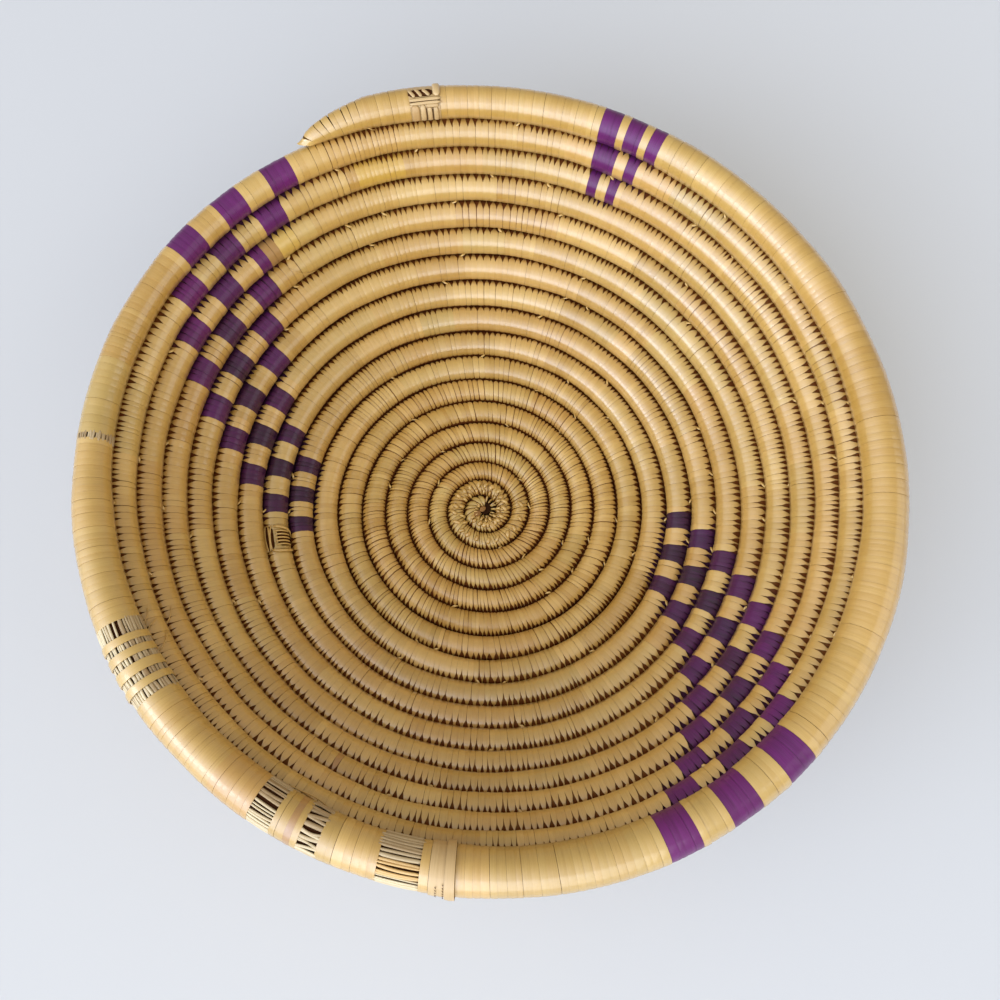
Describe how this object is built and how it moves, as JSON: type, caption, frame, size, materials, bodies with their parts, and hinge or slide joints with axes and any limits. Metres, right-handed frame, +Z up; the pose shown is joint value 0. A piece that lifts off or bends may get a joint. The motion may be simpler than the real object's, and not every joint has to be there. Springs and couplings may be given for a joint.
{
  "type": "coiled straw basket",
  "caption": "Round open bowl coiled from one straw-wrapped grass bundle, with a thicker rim, a tapered tail and sweeps of purple checks down the wall.",
  "frame": {"origin": "middle of the basket's bounding box, on the plane that the base coils stand on", "axes": "+Z up out of the bowl; the coil winds outwards counter-clockwise seen from above; the rim's tail ends on the -X side of +Y"},
  "size_m": [0.3302, 0.333, 0.1039],
  "materials": {
    "straw": "satin",
    "grass": "matte",
    "dyed_straw": "satin",
    "tie_straw": "satin"
  },
  "bodies": {
    "root": {"grass_core": "grass", "start_knot": "straw", "straw_wrap_01": "straw", "straw_wrap_02": "straw", "straw_wrap_03": "straw", "straw_wrap_04": "straw", "straw_wrap_05": "straw", "straw_wrap_06": "straw", "straw_wrap_07": "straw", "straw_wrap_08": "straw", "straw_wrap_09": "straw", "straw_wrap_10": "straw", "straw_wrap_11": "straw", "straw_wrap_12": "straw", "straw_wrap_13": "straw", "straw_wrap_14": "straw", "straw_wrap_15": "straw", "straw_wrap_16": "straw", "rim_wrap": "straw", "dyed_left_1": "dyed_straw", "dyed_left_2": "dyed_straw", "dyed_left_3": "dyed_straw", "dyed_left_4": "dyed_straw", "dyed_left_5": "dyed_straw", "dyed_left_6": "dyed_straw", "dyed_left_7": "dyed_straw", "dyed_left_8": "dyed_straw", "dyed_left_9": "dyed_straw", "dyed_right_1": "dyed_straw", "dyed_right_2": "dyed_straw", "dyed_right_3": "dyed_straw", "dyed_right_4": "dyed_straw", "dyed_right_5": "dyed_straw", "dyed_right_6": "dyed_straw", "dyed_right_7": "dyed_straw", "dyed_right_8": "dyed_straw", "dyed_right_9": "dyed_straw", "dyed_top_1": "dyed_straw", "dyed_top_2": "dyed_straw", "dyed_top_3": "dyed_straw", "rim_tie": "tie_straw", "tail_tie": "tie_straw"}
  },
  "joints": []
}
